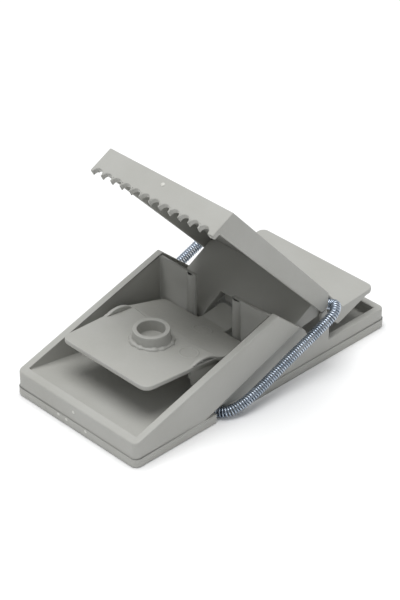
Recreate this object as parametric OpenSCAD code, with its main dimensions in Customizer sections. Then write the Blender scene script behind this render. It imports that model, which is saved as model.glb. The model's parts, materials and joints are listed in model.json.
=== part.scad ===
// Snap mouse trap: a moulded base, a toothed jaw with a squeeze handle, a trip pedal
// with a bait cup, and one long coil spring stretched round the base and over the jaw.
// X is across the width, Y along the length with the mouth at -Y, Z up, floor at zero.
// Outlines are drawn as [y, z] points and carried across the width.

/* [Base] */
// Width of the base over its foot ledge
base_w = 50.8; // [50.6:0.1:52]
// Length of the base over its foot ledge
base_l = 102.4; // [102.4:0.2:106]
// How far the foot ledge stands out from the walls
foot_out = 0.3; // [0.2:0.05:0.35]
// Height of the foot ledge
foot_h = 2.8; // [2.4:0.1:3.0]
// Thickness of the side walls
wall = 2.4; // [2.2:0.1:2.45]
// Height of the front lip
lip_z = 8; // [7.6:0.1:8.2]
// Height of the highest point of the side walls
peak_z = 24.8; // [24:0.1:24.85]
// Height of the rim round the rear tray
rim_z = 6.6; // [6:0.1:6.8]
// Height of the pit floor
pit_z = 5; // [4.8:0.1:5.1]
// Height of the partition behind the pit
partition_z = 24; // [22:0.5:24.5]

/* [Jaw] */
// Thickness of the jaw plate
jaw_t = 2; // [1.8:0.05:2]
// Depth of the toothed flange along its lean
tooth_flange = 8.8; // [8.4:0.1:8.8]
// Spacing of the notches between the teeth
notch_pitch = 3.9; // [3.7:0.05:3.95]
// Radius of each notch
notch_r = 1.7; // [1.4:0.05:1.8]
// Radius of the jaw's hinge tube
hub_r = 3; // [2.9:0.05:3]
// Radius of the studs that carry the jaw
jaw_stud_r = 2; // [1.8:0.05:2.1]

/* [Trip pedal] */
// Thickness of the pedal plate
pedal_t = 1.5; // [1.3:0.05:1.6]
// Outer radius of the bait cup
cup_r = 5.5; // [5.2:0.1:5.8]
// Wall thickness of the bait cup
cup_wall = 1.4; // [1.2:0.05:1.5]
// Height of the bait cup's rim above the floor
cup_z = 20.9; // [20.6:0.1:21.2]
// Radius of the studs that carry the pedal
pedal_stud_r = 1.8; // [1.6:0.05:1.9]

/* [Spring] */
// Radius of the spring over its coils
spring_r = 1.65; // [1.5:0.05:1.65]

/* [Hidden] */
$fn = 48;
eps = 0.01;
far = 200;
fit = 0.05;
side_gap = 0.3;
seat_gap = 0.35;

grey = [0.70, 0.70, 0.68];
steel = [0.62, 0.66, 0.72];

// Walls stand inside the foot ledge.
out_x = base_w / 2 - foot_out;
out_y = base_l / 2 - foot_out;
in_x = out_x - wall;
corner_r = 1.8;

// Hinge axes, both across the width.
jaw_axis = [8.5, 8.8];
pedal_axis = [-18, 10.3];

// Outline of the side walls.
peak_y = 4.7;
slope_end = [17.4, 13.6];
dip = [18.5, 10.8];
horn_y = [24.3, 26.6];
horn_z = [16, 16.9];
horn_x = [in_x, out_x];

// Inside of the pit and the rear tray.
front_wall = 2.6;
ramp_end_y = -30;
floor_t = 2.4;
tray_z = 2.6;
tray_floor = 1.6;
partition_y = [3.5, 4.6];
post_x = 9.5;
post_r = 2;
gap_x = 7.7;
band = 3;

// Spring line on one side: it leaves a notch under the base and climbs to the jaw.
notch = [-17.8, 1.9];
channel_r = 2;
groove_r = 5;
groove_depth = 1.2;
groove_end = [22.5, 16];

// Jaw plate, from its top rear corner down to where the handle begins.
jaw_top = [-13.3, 66.6];
jaw_foot = [34.4, 13.7];
tooth_lean = 27.15;
flange_t = 2;
jaw_side_x = 23;
jaw_inner_x = 22.3;
fold_x = 21.8;
jaw_x = 24.75;
jaw_skip = [26, 22.6];
handle_x = 23.3;
handle_end = [47.8, 14.7];
handle_t = 1.6;
skirt_t = 1.8;
handle_r = 2.3;
arch_x = 6.4;
cheek_t = 2.2;
web_t = 2;
web_end = [24.5, 21.4];
stud_tip_x = 20.4;

// Pedal plate, from its front edge to the tip of its tongue.
pedal_top = [[-40.1, 18.1], [-23.2, 17.1], [-12.5, 15.9], [2.2, 11.2]];
tongue_tip = [12.4, 12.1];
tongue_x = 5.4;
pedal_front_x = 17.8;
pedal_waist_x = 18.7;
pedal_rear_x = 19.5;
ear_x = [17.2, 18.4];
hub_in = 1.6;
ear_at = [-18.7, 9.3];
ear_r = 8.8;
ear_y = [-23.5, -12];
ear_z = 19;
ear_rim = 0.8;
ear_recess = 0.6;
pedal_hub_r = 3.2;
cup_y = -21.3;
cup_floor = 17.1;

// Carries an outline of [y, z] points from x0 to x1.
module across(x0, x1) {
  translate([x0, 0, 0])
    rotate([90, 0, 90])
      linear_extrude(x1 - x0)
        children();
}

// The same on both sides of the middle.
module both_sides() {
  children();
  mirror([1, 0, 0]) children();
}

// A round bar across the width at a [y, z] place.
module bar(r, at, x0, x1) {
  translate([x0, at[0], at[1]])
    rotate([0, 90, 0])
      cylinder(r = r, h = x1 - x0);
}

// An upright block with rounded corners in plan.
module rounded_block(x, y, z0, z1, r) {
  translate([-x, -y + r, z0]) cube([2 * x, 2 * (y - r), z1 - z0]);
  translate([-x + r, -y, z0]) cube([2 * (x - r), 2 * y, z1 - z0]);
  for (sx = [-1, 1], sy = [-1, 1])
    translate([sx * (x - r), sy * (y - r), z0])
      cylinder(r = r, h = z1 - z0);
}

function unit(v) = v / norm(v);
// A point moved square to a direction, to its left.
function beside(p, d, t) = p + t * [-d[1], d[0]];

/* ---- base ---- */

wall_line = [
  [-far, lip_z - (far - out_y) * (peak_z - lip_z) / (peak_y + out_y)],
  [peak_y, peak_z], slope_end, dip, [horn_y[0], dip[1]],
  [horn_y[0], horn_z[0]], [horn_y[1], horn_z[1]], [horn_y[1], rim_z], [far, rim_z]
];

module wall_outline() {
  polygon(concat([[far, 0]], [[-far, 0]], wall_line));
}

module base_walls() {
  intersection() {
    difference() {
      rounded_block(out_x, out_y, 0, peak_z + 1, corner_r);
      translate([-in_x, -out_y + front_wall, -eps])
        cube([2 * in_x, 2 * out_y - front_wall - wall, peak_z + 2]);
    }
    across(-out_x, out_x) wall_outline();
  }
}

module base_floors() {
  across(-in_x - eps, in_x + eps)
    polygon([
      [-out_y + front_wall - eps, lip_z], [ramp_end_y, pit_z], [partition_y[1], pit_z],
      [partition_y[1], pit_z - floor_t], [ramp_end_y, pit_z - floor_t],
      [-out_y + front_wall - eps, lip_z - floor_t]
    ]);
  across(-in_x - eps, in_x + eps)
    polygon([
      [partition_y[1] - eps, tray_z], [out_y - wall + eps, tray_z],
      [out_y - wall + eps, tray_z - tray_floor], [partition_y[1] - eps, tray_z - tray_floor]
    ]);
}

// The ledge the trap rests on, a closed band round the underside.
module foot() {
  difference() {
    rounded_block(base_w / 2, base_l / 2, 0, foot_h, corner_r + foot_out);
    translate([-base_w / 2 + band, -base_l / 2 + band, -eps])
      cube([base_w - 2 * band, base_l - 2 * band, foot_h + 1]);
  }
}

module partition() {
  difference() {
    union() {
      translate([-in_x - eps, partition_y[0], tray_z - tray_floor])
        cube([2 * in_x + 2 * eps, partition_y[1] - partition_y[0], partition_z - tray_z + tray_floor]);
      both_sides()
        translate([post_x, partition_y[1], pit_z - eps])
          cylinder(r = post_r, h = partition_z - pit_z);
    }
    translate([-gap_x, partition_y[0] - post_r, pit_z])
      cube([2 * gap_x, 3 * post_r, far]);
    translate([-in_x, partition_y[1], tray_z])
      cube([2 * in_x, post_r, far]);
  }
}

module base_studs() {
  both_sides() {
    bar(jaw_stud_r, jaw_axis, stud_tip_x, in_x + eps);
    bar(pedal_stud_r, pedal_axis, ear_x[0] - hub_in, in_x + eps);
  }
}

// A round rod between two points.
module rod(a, b, r) {
  d = b - a;
  translate(a)
    rotate([0, acos(d[2] / norm(d)), atan2(d[1], d[0])])
      cylinder(r = r, h = norm(d));
}

// Half-round channel under the floor, flared where the spring turns out of the foot.
module spring_channel() {
  bar(channel_r, notch, -far, far);
  translate([-far, notch[0] - channel_r, -1])
    cube([2 * far, 2 * channel_r, notch[1] + 1]);
  both_sides()
    for (i = [side_from:side_from + 1]) {
      rod(spring_line[i], spring_line[i + 1], channel_r);
      translate(spring_line[i + 1]) sphere(r = channel_r);
    }
}

// Shallow scoop along the outside of each side wall.
module spring_groove() {
  run = groove_end - notch;
  both_sides()
    translate([out_x + groove_r - groove_depth, notch[0], notch[1]])
      rotate([atan2(run[1], run[0]), 0, 0])
        translate([0, -far / 4, 0])
          rotate([-90, 0, 0])
            cylinder(r = groove_r, h = far);
}

module base() {
  color(grey)
    difference() {
      union() {
        difference() {
          union() {
            base_walls();
            foot();
          }
          intersection() {
            spring_groove();
            translate([-far, -far, foot_h]) cube(2 * far);
          }
        }
        base_floors();
        partition();
        base_studs();
      }
      spring_channel();
    }
}

/* ---- trip pedal ---- */

pedal_tip = [pedal_top[3][0] + 2, pedal_top[3][1] - 0.4];
pedal_line = concat(pedal_top, [pedal_tip, tongue_tip]);
pedal_under = [for (i = [len(pedal_line) - 1:-1:0]) pedal_line[i] - [0, pedal_t]];

// Rounds each corner of an outline by setting back along both of its edges.
function soften(p, back, n = 6) = [
  for (i = [0:len(p) - 1])
    let (
      b = p[i],
      a = unit(p[(i + len(p) - 1) % len(p)] - b) * back[i],
      c = unit(p[(i + 1) % len(p)] - b) * back[i]
    )
    for (k = [0:back[i] > 0 ? n : 0])
      b + pow(1 - k / n, 2) * a + pow(k / n, 2) * c
];

module pedal_plan() {
  right = [
    [pedal_front_x, pedal_top[0][0]], [ear_x[1], ear_y[0]], [pedal_waist_x, ear_y[1]],
    [pedal_rear_x, pedal_top[3][0]], [tongue_x, pedal_top[3][0]], [tongue_x, tongue_tip[0]]
  ];
  back = [3.2, 0, 0, 2.4, 1.2, 1.5];
  last = len(right) - 1;
  left = [for (i = [last:-1:0]) [-right[i][0], right[i][1]]];
  back_left = [for (i = [last:-1:0]) back[i]];
  polygon(soften(concat(right, left), concat(back, back_left)));
}

module pedal_ear() {
  hub_top = pedal_axis[1] + pedal_hub_r;
  difference() {
    intersection() {
      bar(ear_r, ear_at, ear_x[0], ear_x[1]);
      across(ear_x[0], ear_x[1])
        polygon([
          [ear_y[0], ear_z], [ear_y[0], hub_top], pedal_axis - [pedal_hub_r - 0.4, 0],
          pedal_axis + [pedal_hub_r - 0.4, 0], [ear_y[1], hub_top], [ear_y[1], ear_z]
        ]);
    }
    intersection() {
      bar(ear_r - ear_rim, ear_at, ear_x[1] - ear_recess, ear_x[1] + 1);
      difference() {
        across(ear_x[1] - ear_recess, ear_x[1] + 1)
          polygon([
            [ear_y[0] + ear_rim, pedal_top[1][1]], [ear_y[1] - ear_rim, pedal_top[1][1] - 1],
            [ear_y[1] - ear_rim, ear_z], [ear_y[0] + ear_rim, ear_z]
          ]);
        translate([0, ear_at[0] - ear_rim / 2, 0]) cube([far, ear_rim, far]);
      }
    }
  }
  bar(pedal_hub_r, pedal_axis, ear_x[0] - hub_in, ear_x[1]);
}

module bait_cup() {
  translate([0, cup_y, cup_floor - pedal_t]) {
    cylinder(r = cup_r, h = cup_z - cup_floor + pedal_t);
    cylinder(r1 = cup_r + 1.2, r2 = cup_r, h = pedal_t + 0.9);
  }
}

module trip_pedal() {
  color(grey)
    difference() {
      union() {
        intersection() {
          across(-pedal_rear_x - 1, pedal_rear_x + 1) polygon(concat(pedal_line, pedal_under));
          linear_extrude(far) pedal_plan();
        }
        both_sides() pedal_ear();
        bait_cup();
      }
      translate([0, cup_y, cup_floor]) cylinder(r = cup_r - cup_wall, h = far);
      bar(pedal_stud_r + fit, pedal_axis, -far, far);
    }
}

/* ---- jaw ---- */

jaw_dir = unit(jaw_foot - jaw_top);
plate_left = [-jaw_dir[1], jaw_dir[0]];
function plate_out(y) = jaw_top + jaw_dir * (y - jaw_top[0]) / jaw_dir[0];
function plate_in(y) = plate_out(y) - jaw_t * plate_left;

lean_dir = -[cos(tooth_lean), sin(tooth_lean)];
tooth_tip = jaw_top + tooth_flange * lean_dir;
tooth_under = tooth_tip + flange_t * [-lean_dir[1], lean_dir[0]];
flange_front = [-18.4, 61.9];
flange_foot = [[23.6, 17.1], [26.2, 17.9]];
web_dir = unit(web_end - [7, 11.4]);
web_start = beside(jaw_axis, web_dir, hub_r);

module tooth_notches() {
  count = 12;
  shift = -0.6;
  for (i = [0:count - 1])
    translate([shift + (i - (count - 1) / 2) * notch_pitch, tooth_tip[0], tooth_tip[1]])
      rotate([tooth_lean, 0, 0])
        cylinder(r = notch_r, h = 4 * flange_t, center = true, $fn = 32);
}

// Plate with its toothed flange and its side flanges, full width.
module jaw_plate() {
  difference() {
    union() {
      across(-jaw_x, jaw_x)
        polygon([jaw_top, plate_out(jaw_skip[0]), plate_in(jaw_skip[0]), plate_in(jaw_top[0] + 1)]);
      across(-fold_x, fold_x)
        polygon([
          plate_out(jaw_skip[0] - 1), jaw_foot, plate_in(jaw_foot[0]), plate_in(jaw_skip[0] - 1)
        ]);
      across(-jaw_x, jaw_x)
        polygon([
          jaw_top, plate_in(jaw_top[0] + 1), plate_in(jaw_top[0] + 0.2),
          tooth_under, tooth_tip
        ]);
      both_sides()
        across(jaw_side_x, jaw_x)
          polygon([
            jaw_top, tooth_tip, tooth_under, flange_front, flange_foot[0], flange_foot[1],
            [jaw_skip[0] + 0.2, jaw_skip[1]], plate_out(jaw_skip[0])
          ]);
    }
    tooth_notches();
  }
}

module jaw_web() {
  web_under = beside(web_start, web_dir, -web_t);
  arch_y = 12.8;
  lip_tip = [13.6, 11.6];
  difference() {
    union() {
      across(-jaw_inner_x, jaw_inner_x)
        polygon([
          web_start, web_end, web_end + [1.2, 0], beside(web_end, web_dir, -web_t) + [1.2, 0], web_under
        ]);
      bar(hub_r, jaw_axis, -jaw_inner_x, jaw_inner_x);
    }
    bar(7.3, jaw_axis, -arch_x, arch_x);
    across(-arch_x, arch_x)
      polygon([[0, 0], [arch_y, 0], [arch_y, 14], [0, 22]]);
  }
  across(-arch_x + 1, arch_x - 1)
    polygon([lip_tip, lip_tip + [1.6, 0.5], [16.6, 15.9], [14.9, 15.3], [13.7, 14.2]]);
}

module jaw_cheeks() {
  both_sides()
    across(jaw_inner_x - cheek_t, jaw_inner_x)
      polygon([
        web_start, web_end, plate_out(jaw_skip[0]) - plate_left, [25.6, 14.4], [18.2, 13.5],
        jaw_axis + [2.6, -1.5]
      ]);
}

module jaw_handle() {
  lead = unit(handle_end - jaw_foot);
  intersection() {
    union() {
      across(-handle_x, handle_x)
        polygon([
          plate_out(jaw_foot[0] - 1), jaw_foot, handle_end + lead,
          beside(handle_end + lead, lead, -handle_t), beside(jaw_foot, lead, -handle_t),
          plate_out(jaw_foot[0] - 1.6) - 1.5 * plate_left
        ]);
      both_sides()
        across(handle_x - skirt_t, handle_x)
          polygon([
            [31.2, 15.9], [30.6, 15.2], [30.6, 9.8], [32.3, 8.3], [44, 12.7],
            handle_end - [1.8, 0.9], jaw_foot + [0.8, -0.8], plate_out(jaw_foot[0] - 1)
          ]);
    }
    rounded_block(handle_x, handle_end[0], 0, peak_z, handle_r);
  }
}

// Scoop in each end of the fold, where the spring turns in behind the web.
module spring_seat() {
  rod([26.5, 28.6, 18.2], [18, 28.1, 15.3], spring_r + seat_gap);
}

module jaw() {
  color(grey)
    difference() {
      union() {
        jaw_plate();
        jaw_web();
        jaw_cheeks();
        jaw_handle();
      }
      both_sides() {
        bar(jaw_stud_r + fit, jaw_axis, stud_tip_x - side_gap, far);
        spring_seat();
      }
    }
}

/* ---- spring ---- */

// Centre line from the middle of the underside, out and up one side, and across behind the web.
spring_line = [
  [0, -17.8, 1.9], [12, -17.8, 1.9], [22, -17.8, 1.9], [24.2, -17.3, 1.95],
  [26, -15.4, 2.3], [27.2, -12, 3.4], [27.7, -8.9, 4.6], [27.8, -4.3, 6.2],
  [27.8, 2.2, 8.6], [27.8, 8.4, 11], [27.8, 16.1, 13.7], [27.8, 22.2, 16],
  [27.7, 24.7, 17], [27, 26.6, 17.7], [25.6, 28.2, 17.9], [23.8, 28.5, 17.3],
  [21.8, 28.4, 16.5], [19.5, 28.1, 15.7], [16, 27.7, 15.1], [8, 27.6, 15], [0, 27.6, 15]
];
side_from = 3;
side_to = 14;
tube_sides = 12;

// Smooth points along a run of the centre line.
function along(p, i, t) =
  let (a = p[max(i - 1, 0)], b = p[i], c = p[i + 1], d = p[min(i + 2, len(p) - 1)])
  0.5 * (2 * b + (c - a) * t + (2 * a - 5 * b + 4 * c - d) * t * t
    + (3 * b - a - 3 * c + d) * t * t * t);
function smooth(p, i0, i1, steps) = concat(
  [for (i = [i0:i1 - 1], k = [0:steps - 1]) along(p, i, k / steps)], [p[i1]]
);
function heading(p, i) = unit(p[min(i + 1, len(p) - 1)] - p[max(i - 1, 0)]);

// A round tube along points, with its ends square to the given headings.
module tube(p, r, start, end) {
  n = len(p);
  m = tube_sides;
  dirs = [for (i = [0:n - 1]) i == 0 ? start : i == n - 1 ? end : heading(p, i)];
  ring = [
    for (i = [0:n - 1])
      let (u = unit(cross(dirs[i], [0, -0.35, 0.94])), v = cross(u, dirs[i]))
      for (k = [0:m - 1])
        p[i] + r * (u * cos(360 * k / m) + v * sin(360 * k / m))
  ];
  sides = [
    for (i = [0:n - 2], k = [0:m - 1])
      let (a = i * m + k, b = i * m + (k + 1) % m)
      [a, b, b + m, a + m]
  ];
  ends = [[for (k = [m - 1:-1:0]) k], [for (k = [0:m - 1]) (n - 1) * m + k]];
  polyhedron(points = ring, faces = concat(sides, ends));
}

function turn_at(i) = unit(spring_line[i + 1] - spring_line[i - 1]);

module spring_under_run() {
  half = smooth(spring_line, 1, side_from, 2);
  other = [for (i = [len(half) - 1:-1:0]) [-half[i][0], half[i][1], half[i][2]]];
  turn = turn_at(side_from);
  color(steel)
    tube(concat(other, half), spring_r, [turn[0], -turn[1], -turn[2]], turn);
}

module spring_side() {
  color(steel)
    tube(smooth(spring_line, side_from, side_to, 2), spring_r, turn_at(side_from), turn_at(side_to));
}

module spring_right_run() {
  spring_side();
}

module spring_left_run() {
  mirror([1, 0, 0]) spring_side();
}

module spring_jaw_run() {
  half = smooth(spring_line, side_to, len(spring_line) - 2, 2);
  other = [for (i = [len(half) - 1:-1:0]) [-half[i][0], half[i][1], half[i][2]]];
  turn = turn_at(side_to);
  color(steel)
    tube(concat(half, other), spring_r, turn, [turn[0], -turn[1], -turn[2]]);
}

base();
trip_pedal();
jaw();
spring_under_run();
spring_right_run();
spring_left_run();
spring_jaw_run();
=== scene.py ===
"""Snap mouse trap: grey moulded base, jaw and trip pedal, and one long bright coil spring."""
import json
import math

import bmesh
import bpy
from mathutils import Matrix, Vector


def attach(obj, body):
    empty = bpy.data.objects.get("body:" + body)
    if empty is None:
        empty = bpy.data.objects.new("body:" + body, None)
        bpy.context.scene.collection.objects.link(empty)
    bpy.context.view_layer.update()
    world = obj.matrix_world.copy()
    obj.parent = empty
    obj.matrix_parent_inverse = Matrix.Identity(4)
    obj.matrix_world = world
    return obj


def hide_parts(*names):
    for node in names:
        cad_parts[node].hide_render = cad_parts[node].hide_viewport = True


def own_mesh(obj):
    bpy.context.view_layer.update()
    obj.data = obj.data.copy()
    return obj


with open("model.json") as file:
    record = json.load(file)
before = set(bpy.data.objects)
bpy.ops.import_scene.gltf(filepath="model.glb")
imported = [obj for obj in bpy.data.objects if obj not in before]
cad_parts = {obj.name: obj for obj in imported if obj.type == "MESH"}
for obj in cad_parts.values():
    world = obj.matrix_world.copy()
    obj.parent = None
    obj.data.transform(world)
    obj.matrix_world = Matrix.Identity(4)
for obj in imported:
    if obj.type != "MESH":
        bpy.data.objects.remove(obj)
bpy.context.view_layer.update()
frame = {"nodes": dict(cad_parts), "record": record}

MM = 0.001

# ---------------------------------------------------------------- camera
AIM = Vector((0, 0, 25 * MM))
AZIMUTH = math.radians(45.83)
ELEVATION = math.radians(33.08)
DISTANCE = 649.4 * MM
LENS = 134.57
SHIFT = (-0.00825, -0.0209)


def look_from(azimuth, elevation):
    """Unit vector from the object towards a viewer; azimuth 0 stands at -Y."""
    return Vector((
        math.sin(azimuth) * math.cos(elevation),
        -math.cos(azimuth) * math.cos(elevation),
        math.sin(elevation),
    ))


def make_camera():
    data = bpy.data.cameras.new("camera")
    data.lens = LENS
    data.sensor_width = 36
    data.shift_x, data.shift_y = SHIFT
    data.clip_start = 0.01
    data.clip_end = 20
    camera = bpy.data.objects.new("camera", data)
    bpy.context.scene.collection.objects.link(camera)
    towards = look_from(AZIMUTH, ELEVATION)
    camera.location = AIM + DISTANCE * towards
    camera.rotation_euler = towards.to_track_quat("Z", "Y").to_euler()
    bpy.context.scene.camera = camera


# ---------------------------------------------------------------- studio
def make_world(strength):
    world = bpy.data.worlds.new("studio")
    world.use_nodes = True
    back = world.node_tree.nodes["Background"]
    back.inputs["Color"].default_value = (0.97, 0.985, 1.0, 1)
    back.inputs["Strength"].default_value = strength
    bpy.context.scene.world = world
    bpy.context.scene.view_settings.view_transform = "Standard"


def make_softbox(name, azimuth, elevation, distance, size, power, colour=(1, 1, 1)):
    data = bpy.data.lights.new(name, "AREA")
    data.shape = "DISK"
    data.size = size
    data.energy = power
    data.color = colour
    light = bpy.data.objects.new(name, data)
    bpy.context.scene.collection.objects.link(light)
    towards = look_from(math.radians(azimuth), math.radians(elevation))
    light.location = AIM + distance * towards
    light.rotation_euler = towards.to_track_quat("Z", "Y").to_euler()


def make_floor():
    bm = bmesh.new()
    bmesh.ops.create_grid(bm, x_segments=1, y_segments=1, size=3)
    bmesh.ops.translate(bm, vec=(0, 0, -0.05 * MM), verts=bm.verts)
    floor = as_object("floor", bm)
    material = bpy.data.materials.new("floor_white")
    material.use_nodes = True
    shader = material.node_tree.nodes["Principled BSDF"]
    shader.inputs["Base Color"].default_value = (0.97, 0.97, 0.97, 1)
    shader.inputs["Roughness"].default_value = 0.9
    shader.inputs["Specular IOR Level"].default_value = 0.1
    floor.data.materials.append(material)


# ---------------------------------------------------------------- helpers
def as_object(name, bm):
    mesh = bpy.data.meshes.new(name)
    bm.to_mesh(mesh)
    bm.free()
    piece = bpy.data.objects.new(name, mesh)
    bpy.context.scene.collection.objects.link(piece)
    return piece


class Nodes:
    """Small helper that adds and links shader nodes in one material."""

    def __init__(self, name):
        self.material = bpy.data.materials.new(name)
        self.material.use_nodes = True
        self.tree = self.material.node_tree
        self.shader = self.tree.nodes["Principled BSDF"]
        self.coords = self.add("ShaderNodeTexCoord")

    def add(self, kind):
        return self.tree.nodes.new(kind)

    def link(self, source, target):
        self.tree.links.new(source, target)

    def noise(self, scale, detail=3, roughness=0.5):
        node = self.add("ShaderNodeTexNoise")
        node.inputs["Scale"].default_value = scale
        node.inputs["Detail"].default_value = detail
        node.inputs["Roughness"].default_value = roughness
        self.link(self.coords.outputs["Object"], node.inputs["Vector"])
        return node.outputs["Fac"]

    def spread(self, value, low, high, start=0.3, end=0.7):
        node = self.add("ShaderNodeMapRange")
        node.inputs["From Min"].default_value = start
        node.inputs["From Max"].default_value = end
        node.inputs["To Min"].default_value = low
        node.inputs["To Max"].default_value = high
        self.link(value, node.inputs["Value"])
        return node.outputs["Result"]

    def mix(self, factor, first, second):
        node = self.add("ShaderNodeMix")
        node.data_type = "RGBA"
        self.link(factor, node.inputs["Factor"])
        for value, socket in ((first, node.inputs["A"]), (second, node.inputs["B"])):
            if isinstance(value, tuple):
                socket.default_value = (*value, 1)
            else:
                self.link(value, socket)
        return node.outputs["Result"]

    def bump(self, height, strength, distance, below=None):
        node = self.add("ShaderNodeBump")
        node.inputs["Strength"].default_value = strength
        node.inputs["Distance"].default_value = distance
        self.link(height, node.inputs["Height"])
        if below is not None:
            self.link(below, node.inputs["Normal"])
        return node.outputs["Normal"]


# ---------------------------------------------------------------- finishes
def grey_plastic(name, tint=1.0):
    """Warm grey moulded plastic: cloudy colour, a fine spark texture and faint flow ripples."""
    n = Nodes(name)
    cloud = n.spread(n.noise(45, 4, 0.55), 0, 1, 0.32, 0.68)
    fleck = n.spread(n.noise(900, 2, 0.6), 0, 1, 0.35, 0.75)
    # A tint above 1 makes a paler copy of this plastic, used to paint a highlight on small domes.
    dark = tuple(tint * c for c in (0.385, 0.383, 0.355))
    light = tuple(tint * c for c in (0.425, 0.424, 0.400))
    pale = tuple(tint * c for c in (0.455, 0.452, 0.425))
    body = n.mix(cloud, dark, light)
    speck = n.spread(n.noise(2600, 1, 0.5), 0, 0.35, 0.60, 0.80)
    n.link(n.mix(speck, body, pale), n.shader.inputs["Base Color"])
    n.link(n.spread(fleck, 0.40, 0.56, 0, 1), n.shader.inputs["Roughness"])
    grain = n.bump(n.noise(3200, 2, 0.6), 0.10, 0.02 * MM)
    ripple = n.bump(n.noise(70, 2, 0.4), 0.10, 0.25 * MM, grain)
    n.link(ripple, n.shader.inputs["Normal"])
    n.shader.inputs["Specular IOR Level"].default_value = 0.42
    n.shader.inputs["IOR"].default_value = 1.49
    return n.material


def spring_steel(name):
    """Bright zinc-plated wire with darker drawn streaks."""
    n = Nodes(name)
    tone = n.spread(n.noise(260, 3, 0.6), 0, 1, 0.35, 0.7)
    n.link(n.mix(tone, (0.36, 0.42, 0.50), (0.64, 0.70, 0.78)), n.shader.inputs["Base Color"])
    n.link(n.spread(n.noise(1500, 2, 0.5), 0.20, 0.36), n.shader.inputs["Roughness"])
    n.link(n.bump(n.noise(4000, 2, 0.5), 0.06, 0.01 * MM), n.shader.inputs["Normal"])
    n.shader.inputs["Metallic"].default_value = 1.0
    return n.material


# ---------------------------------------------------------------- mouldings
MERGE = 0.02 * MM
FLAT = math.radians(1.2)
SHARP = math.radians(28)
ONWARD = math.cos(math.radians(40))
LEAST_ROOM = 0.36 * MM


def room_beside(edge, corner):
    """Room for rounding at one end of an edge: the shortest edge that turns away there."""
    heading = (corner.co - edge.other_vert(corner).co).normalized()
    room = 1.0
    for other in corner.link_edges:
        if other is edge:
            continue
        away = (other.other_vert(corner).co - corner.co).normalized()
        if away.dot(heading) < ONWARD:
            room = min(room, other.calc_length())
    return room


def mark_roundings(bm, edge_width):
    """Gives each sharp edge a bevel weight, less where the faces beside it are narrow."""
    weight = bm.edges.layers.float.new("bevel_weight_edge")
    for edge in bm.edges:
        if edge.is_manifold and edge.calc_face_angle() > SHARP:
            room = min(room_beside(edge, corner) for corner in edge.verts)
            edge[weight] = min(1.0, 0.4 * room / edge_width) if room > LEAST_ROOM else 0.0


def whole_faces(node):
    """The CAD solid of one node as a mesh whose flat faces are single faces."""
    bm = bmesh.new()
    bm.from_mesh(frame["nodes"][node].data)
    bmesh.ops.remove_doubles(bm, verts=bm.verts, dist=MERGE)
    bmesh.ops.dissolve_limit(
        bm, angle_limit=FLAT, use_dissolve_boundaries=False, verts=bm.verts, edges=bm.edges
    )
    for face in bm.faces:
        face.smooth = True
    return bm


def round_edges(piece, edge_width):
    """Rounds the weighted edges of a moulding."""
    bevel = piece.modifiers.new("moulded_edges", "BEVEL")
    bevel.width = edge_width
    bevel.segments = 3
    bevel.limit_method = "WEIGHT"
    bevel.use_clamp_overlap = False


def folded_faces(node, edge_width):
    """Numbers of the large faces that the rounding would fold over themselves."""
    bm = whole_faces(node)
    mark_roundings(bm, edge_width)
    number = bm.faces.layers.int.new("number")
    for i, face in enumerate(bm.faces):
        face[number] = i
    trial = as_object("trial", bm)
    round_edges(trial, edge_width)
    bpy.context.view_layer.update()
    rounded = trial.evaluated_get(bpy.context.evaluated_depsgraph_get())
    mesh = rounded.to_mesh()
    mesh.calc_loop_triangles()
    covered = [0.0] * len(mesh.polygons)
    for triangle in mesh.loop_triangles:
        covered[triangle.polygon_index] += triangle.area
    numbers = mesh.attributes["number"].data
    folded = {
        numbers[face.index].value for face in mesh.polygons
        if face.loop_total > 4 and covered[face.index] > 1.005 * face.area
    }
    rounded.to_mesh_clear()
    bpy.data.objects.remove(trial)
    return folded


def moulding(name, node, material, edge_width):
    """The CAD solid of one moulding with its edges rounded."""
    folded = folded_faces(node, edge_width)
    bm = whole_faces(node)
    bmesh.ops.triangulate(bm, faces=[face for i, face in enumerate(bm.faces) if i in folded])
    mark_roundings(bm, edge_width)
    piece = as_object(name, bm)
    piece.data.materials.clear()
    piece.data.materials.append(material)
    round_edges(piece, edge_width)
    shading = piece.modifiers.new("flat_faces_stay_flat", "WEIGHTED_NORMAL")
    shading.mode = "FACE_AREA"
    shading.weight = 80
    shading.keep_sharp = False
    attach(piece, piece_body(node))
    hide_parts(node)
    return piece


# ---------------------------------------------------------------- small moulding marks
# Each mark is a centre in millimetres and the direction its surface faces.
FRONT = (0, -1, 0)
FRONT_PIPS = [
    ((-6.9, -51.2, 2.2), FRONT), ((-3.5, -51.2, 2.1), FRONT), ((4.6, -51.2, 2.1), FRONT),
    ((-0.7, -50.9, 5.9), FRONT),
]
JAW_PIP = ((-0.8, -15.44, 65.5), (0, -0.456, 0.89))
CUP_PIP = ((0, -21.3, 17.1), (0, 0, 1))
CUP_FOOT = ((0, -21.3, 16.85), (0, 0.1, 0.995))
EJECTOR_MARKS = [
    ((2.2, -3, 12.86), (0, 0.304, 0.953)), ((11.7, -17.7, 16.48), (0, 0.112, 0.994)),
]


def surface_frame(centre, normal):
    """Matrix that stands a shape on a surface: its Z along the surface's outward normal."""
    turn = Vector(normal).normalized().to_track_quat("Z", "Y").to_matrix().to_4x4()
    return Matrix.Translation(Vector(centre) * MM) @ turn


def finish_mark(name, bm, node, material):
    """Makes one piece of the marks and lets it ride with the moulding it is on."""
    for face in bm.faces:
        face.smooth = True
    piece = as_object(name, bm)
    piece.data.materials.append(material)
    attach(piece, piece_body(node))


def low_domes(name, places, radius, height, node, material):
    """Small raised domes left by gates and vents."""
    bm = bmesh.new()
    shape = Matrix.Diagonal((radius * MM, radius * MM, height * MM, 1))
    for centre, normal in places:
        bmesh.ops.create_uvsphere(
            bm, u_segments=24, v_segments=12, radius=1, matrix=surface_frame(centre, normal) @ shape
        )
    finish_mark(name, bm, node, material)


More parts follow.
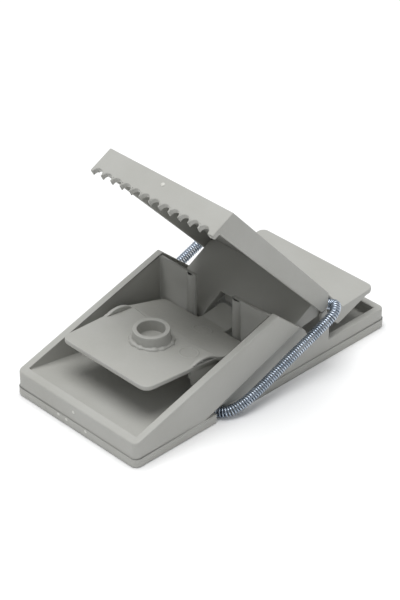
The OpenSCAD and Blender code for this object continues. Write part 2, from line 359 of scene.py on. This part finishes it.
def low_rings(name, places, radius, breadth, height, node, material, waver=0.0):
    """Raised rings left round ejector pins, or a lumpy bead of flash where waver isn't nought."""
    bm = bmesh.new()
    for centre, normal in places:
        stand = surface_frame(centre, normal)
        made = bmesh.ops.create_circle(
            bm, segments=10, radius=1,
            matrix=Matrix.Translation((radius, 0, 0)) @ Matrix.Rotation(math.pi / 2, 4, "X")
            @ Matrix.Diagonal((breadth, height, 1, 1)),
        )
        rim = {edge for vert in made["verts"] for edge in vert.link_edges}
        spun = bmesh.ops.spin(
            bm, geom=made["verts"] + list(rim), axis=(0, 0, 1), cent=(0, 0, 0),
            angle=2 * math.pi, steps=72, use_merge=True,
        )
        ring = {vert for vert in bm.verts if not vert.tag}
        for vert in ring:
            angle = math.atan2(vert.co.y, vert.co.x)
            swell = 1 + waver * (math.sin(5 * angle + 1) + math.sin(11 * angle) + math.sin(17 * angle + 2))
            reach = Vector((vert.co.x, vert.co.y, 0))
            out = reach.normalized() * (radius + (reach.length - radius) * swell)
            vert.co = stand @ (Vector((out.x, out.y, vert.co.z * swell)) * MM)
            vert.tag = True
    bmesh.ops.recalc_face_normals(bm, faces=bm.faces)
    finish_mark(name, bm, node, material)


def piece_body(node):
    """Name of the moving body that a CAD node belongs to."""
    for body, members in frame["record"]["behaviour"]["bodies"].items():
        if node in members:
            return body


# ---------------------------------------------------------------- spring
COIL_R = 1.65 * MM
WIRE_R = 0.27 * MM
PITCH = 0.78 * MM
STEPS = 12
# Half of the coil's centre line, from the middle of the underside to behind the jaw's web.
ROUTE = [
    (0, -17.8, 1.9), (12, -17.8, 1.9), (22, -17.8, 1.9), (24.2, -17.3, 1.95),
    (26, -15.4, 2.3), (27.2, -12, 3.4), (27.7, -8.9, 4.6), (27.8, -4.3, 6.2),
    (27.8, 2.2, 8.6), (27.8, 8.4, 11), (27.8, 16.1, 13.7), (27.8, 22.2, 16),
    (27.7, 24.7, 17), (27, 26.6, 17.7), (25.6, 28.2, 17.9), (23.8, 28.5, 17.3),
    (21.8, 28.4, 16.5), (19.5, 28.1, 15.7), (16, 27.7, 15.1), (8, 27.6, 15), (0, 27.6, 15),
]
SIDE_FROM = 3
SIDE_TO = 14


def smooth_line(points, steps):
    """Points along a Catmull-Rom curve through the given ones, with the ends kept."""
    line = []
    last = len(points) - 1
    for i in range(last):
        a, b, c, d = (points[max(0, min(last, i + k))] for k in (-1, 0, 1, 2))
        for k in range(steps):
            t = k / steps
            line.append(0.5 * (
                2 * b + (c - a) * t + (2 * a - 5 * b + 4 * c - d) * t * t
                + (3 * b - a - 3 * c + d) * t ** 3
            ))
    line.append(points[last])
    return line


class Track:
    """A smooth line measured by length, with a frame that doesn't twist along it."""

    def __init__(self, line):
        self.line = line
        self.reach = [0.0]
        for a, b in zip(line, line[1:]):
            self.reach.append(self.reach[-1] + (b - a).length)
        self.ahead = []
        self.side = []
        side = Vector((0, 0, 1))
        for i in range(len(line)):
            heading = (line[min(i + 1, len(line) - 1)] - line[max(i - 1, 0)]).normalized()
            side = (side - heading * side.dot(heading)).normalized()
            self.ahead.append(heading)
            self.side.append(side.copy())

    def at(self, distance):
        """Centre, side and cross directions at a distance along the line."""
        low, high = 0, len(self.reach) - 1
        while high - low > 1:
            middle = (low + high) // 2
            if self.reach[middle] <= distance:
                low = middle
            else:
                high = middle
        t = (distance - self.reach[low]) / (self.reach[high] - self.reach[low])
        centre = self.line[low].lerp(self.line[high], t)
        heading = self.ahead[low].lerp(self.ahead[high], t).normalized()
        side = self.side[low].lerp(self.side[high], t)
        side = (side - heading * side.dot(heading)).normalized()
        return centre, side, heading.cross(side)


def coil_run(name, track, start, end, turns_per_metre):
    """The part of one coil spring that lies between two distances along its line."""
    count = max(8, round((end - start) * turns_per_metre * STEPS))
    curve = bpy.data.curves.new(name, "CURVE")
    curve.dimensions = "3D"
    curve.bevel_depth = WIRE_R
    curve.bevel_resolution = 1
    curve.use_fill_caps = True
    spline = curve.splines.new("POLY")
    spline.points.add(count)
    for i in range(count + 1):
        distance = start + (end - start) * i / count
        centre, side, cross = track.at(distance)
        angle = 2 * math.pi * turns_per_metre * distance
        radius = COIL_R - WIRE_R
        place = centre + radius * (math.cos(angle) * side + math.sin(angle) * cross)
        spline.points[i].co = (*place, 1)
    shape = bpy.data.objects.new(name + "_curve", curve)
    bpy.context.scene.collection.objects.link(shape)
    bpy.context.view_layer.update()
    mesh = bpy.data.meshes.new_from_object(shape.evaluated_get(bpy.context.evaluated_depsgraph_get()))
    bpy.data.objects.remove(shape)
    mesh.name = name
    mesh.materials.clear()
    for face in mesh.polygons:
        face.use_smooth = True
    piece = bpy.data.objects.new(name, mesh)
    bpy.context.scene.collection.objects.link(piece)
    return piece


def make_spring(material):
    right = [Vector(p) * MM for p in ROUTE]
    left = [Vector((-p.x, p.y, p.z)) for p in reversed(right)]
    loop = smooth_line(right + left[1:], 12)
    track = Track(loop)
    marks = [track.reach[12 * i] for i in (
        0, SIDE_FROM, SIDE_TO, 2 * len(ROUTE) - 2 - SIDE_TO, 2 * len(ROUTE) - 2 - SIDE_FROM,
        2 * len(ROUTE) - 2,
    )]
    whole = track.reach[-1]
    density = round(whole / PITCH) / whole
    runs = [
        ("coil_under_right", marks[0], marks[1], "base", []),
        ("coil_right", marks[1], marks[2], "spring_sides", ["spring_right_run"]),
        ("coil_over_jaw", marks[2], marks[3], "jaw", ["spring_jaw_run"]),
        ("coil_left", marks[3], marks[4], "spring_sides", ["spring_left_run"]),
        ("coil_under_left", marks[4], marks[5], "base", []),
    ]
    made = {}
    for name, start, end, body, nodes in runs:
        piece = coil_run(name, track, start, end, density)
        piece.data.materials.append(material)
        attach(piece, body)
        if nodes:
            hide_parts(*nodes)
        made[name] = piece
    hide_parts("spring_under_run")
    for name in ("coil_right", "coil_left"):
        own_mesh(made[name])


# ---------------------------------------------------------------- build
make_camera()
make_world(0.40)
make_softbox("overhead", azimuth=-60, elevation=86, distance=1.2, size=1.2, power=14.5)
make_softbox("front", azimuth=-15, elevation=25, distance=1.4, size=0.9, power=0.8)
make_floor()

plastic = grey_plastic("grey_plastic")
# Paler copy of the plastic: a painted highlight for the small domes at the front and on the jaw.
pale_painted_highlight_plastic = grey_plastic("pale_painted_highlight_plastic", tint=1.5)
moulding("base_moulding", "base", plastic, 0.45 * MM)
moulding("pedal_moulding", "trip_pedal", plastic, 0.3 * MM)
moulding("jaw_moulding", "jaw", plastic, 0.35 * MM)
make_spring(spring_steel("spring_steel"))

# The front pips and the jaw pip get the paler plastic, which paints a highlight on them.
low_domes("front_pips", FRONT_PIPS, 0.5, 0.16, "base", pale_painted_highlight_plastic)
low_domes("jaw_pip", [JAW_PIP], 0.7, 0.3, "jaw", pale_painted_highlight_plastic)
low_domes("cup_pip", [CUP_PIP], 0.9, 0.5, "trip_pedal", plastic)
low_rings("ejector_marks", EJECTOR_MARKS, 2.8, 0.3, 0.1, "trip_pedal", plastic)
low_rings("cup_flash", [CUP_FOOT], 5.9, 0.8, 0.7, "trip_pedal", plastic, waver=0.16)
